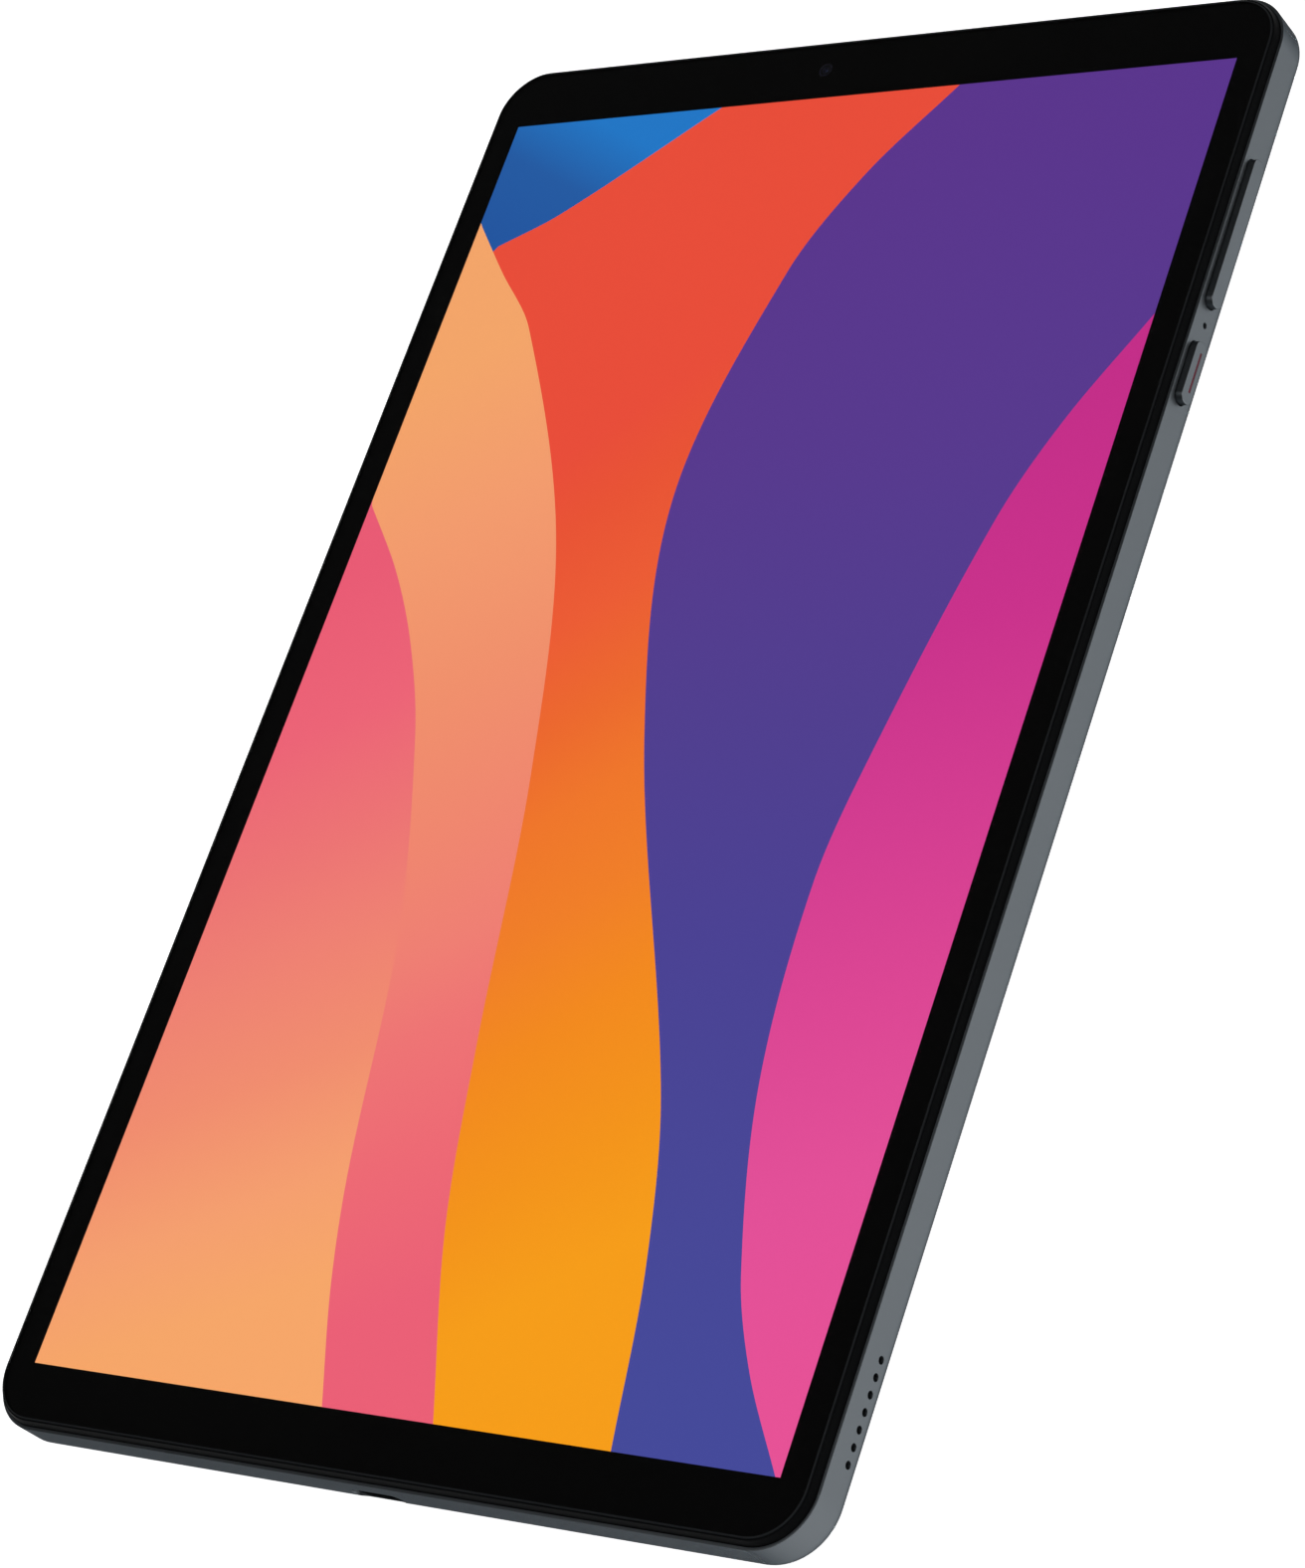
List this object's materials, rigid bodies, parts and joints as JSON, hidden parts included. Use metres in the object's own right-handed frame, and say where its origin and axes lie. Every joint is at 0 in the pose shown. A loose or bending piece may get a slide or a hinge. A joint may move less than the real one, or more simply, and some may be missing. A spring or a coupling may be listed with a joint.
{
  "type": "tablet computer",
  "caption": "Slim slate tablet with a large black-bordered screen in a dark metal tray, side keys that press, a sliding card tray, ports and speaker holes.",
  "frame": {"origin": "middle of the flat back, under the middle of the body", "axes": "+X towards the side with the keys, +Y towards the end with the front camera, +Z out of the screen; the tablet lies on its back"},
  "size_m": [0.1521, 0.2432, 0.0081],
  "materials": {
    "housing_metal": "fine blasted and anodised, dark grey",
    "key_metal": "fine blasted and anodised, dark grey",
    "tray_metal": "fine blasted and anodised, dark grey",
    "ring_metal": "turned and anodised, dark grey",
    "frame_plastic": "moulded, satin black",
    "cover_glass": "polished, with a ground edge",
    "border_ink": "printed layer seen through the glass",
    "adhesive": "foam tape",
    "panel_glass": "polarised liquid crystal sandwich",
    "light_guide": "clear and white films",
    "sheet_steel": "thin rolled sheet",
    "cast_frame": "die cast, blasted",
    "screw_steel": "plated",
    "circuit_board": "solder mask over glass fibre",
    "can_metal": "tinned sheet",
    "battery_pouch": "laminated foil pouch",
    "flex_circuit": "polyimide film",
    "graphite": "pressed graphite film",
    "port_shell": "drawn steel, plated",
    "port_tongue": "moulded, with plated contacts",
    "speaker_plastic": "moulded",
    "dust_mesh": "fine woven mesh",
    "switch_metal": "plated dome",
    "capsule_metal": "plated cap",
    "soft_rubber": "moulded",
    "socket_plastic": "moulded, with spring contacts",
    "camera_plastic": "moulded",
    "camera_lens": "coated",
    "camera_window": "coated",
    "led_ceramic": "phosphor",
    "flash_diffuser": "moulded, clear",
    "aerial_carrier": "moulded, with plated tracks",
    "key_inlay": "lacquered dark red"
  },
  "bodies": {
    "tablet": {"rear_housing": "housing_metal", "front_frame": "frame_plastic", "cover_glass": "cover_glass", "printed_border": "border_ink", "glass_adhesive": "adhesive", "lcd_panel": "panel_glass", "backlight_unit": "light_guide", "display_shield": "sheet_steel", "display_flex": "flex_circuit", "mid_frame": "cast_frame", "frame_screws": "screw_steel", "mainboard": "circuit_board", "processor_shield": "can_metal", "radio_shield": "can_metal", "power_shield": "can_metal", "board_screws": "screw_steel", "battery_cell_left": "battery_pouch", "battery_cell_right": "battery_pouch", "battery_board": "circuit_board", "battery_flex": "flex_circuit", "graphite_sheet": "graphite", "usb_board": "circuit_board", "usb_c_receptacle": "port_shell", "usb_c_tongue": "port_tongue", "board_link_flex": "flex_circuit", "speaker_right": "speaker_plastic", "speaker_left": "speaker_plastic", "speaker_mesh_right": "dust_mesh", "speaker_mesh_left": "dust_mesh", "key_bracket": "sheet_steel", "key_flex": "flex_circuit", "dome_switches": "switch_metal", "side_microphone": "capsule_metal", "microphone_gasket": "soft_rubber", "card_socket": "can_metal", "headphone_socket": "socket_plastic", "front_camera_module": "camera_plastic", "front_camera_lens": "camera_lens", "rear_camera_module": "camera_plastic", "rear_camera_ring": "ring_metal", "rear_camera_window": "camera_window", "flash_led": "led_ceramic", "flash_window": "flash_diffuser", "wifi_antenna": "aerial_carrier", "gps_antenna": "aerial_carrier"},
    "volume_key": {"volume_key": "key_metal"},
    "power_key": {"power_key": "key_metal", "power_key_inlay": "key_inlay"},
    "card_tray": {"card_tray": "tray_metal", "card_tray_seal": "soft_rubber"}
  },
  "joints": [
    {"name": "power_press", "type": "slide", "parent": "tablet", "child": "power_key", "axis": [-1, 0, 0], "range_m": [0, 0.0003], "stiffness_N_per_m": 4000},
    {"name": "volume_rock", "type": "hinge", "parent": "tablet", "child": "volume_key", "pos_m": [0.07345, 0.081, 0.00424], "axis": [0, 0, 1], "range_deg": [-1.5, 1.5], "stiffness_Nm_per_rad": 0.65},
    {"name": "tray_slide", "type": "slide", "parent": "tablet", "child": "card_tray", "axis": [-1, 0, 0], "range_m": [0, 0.02]}
  ]
}
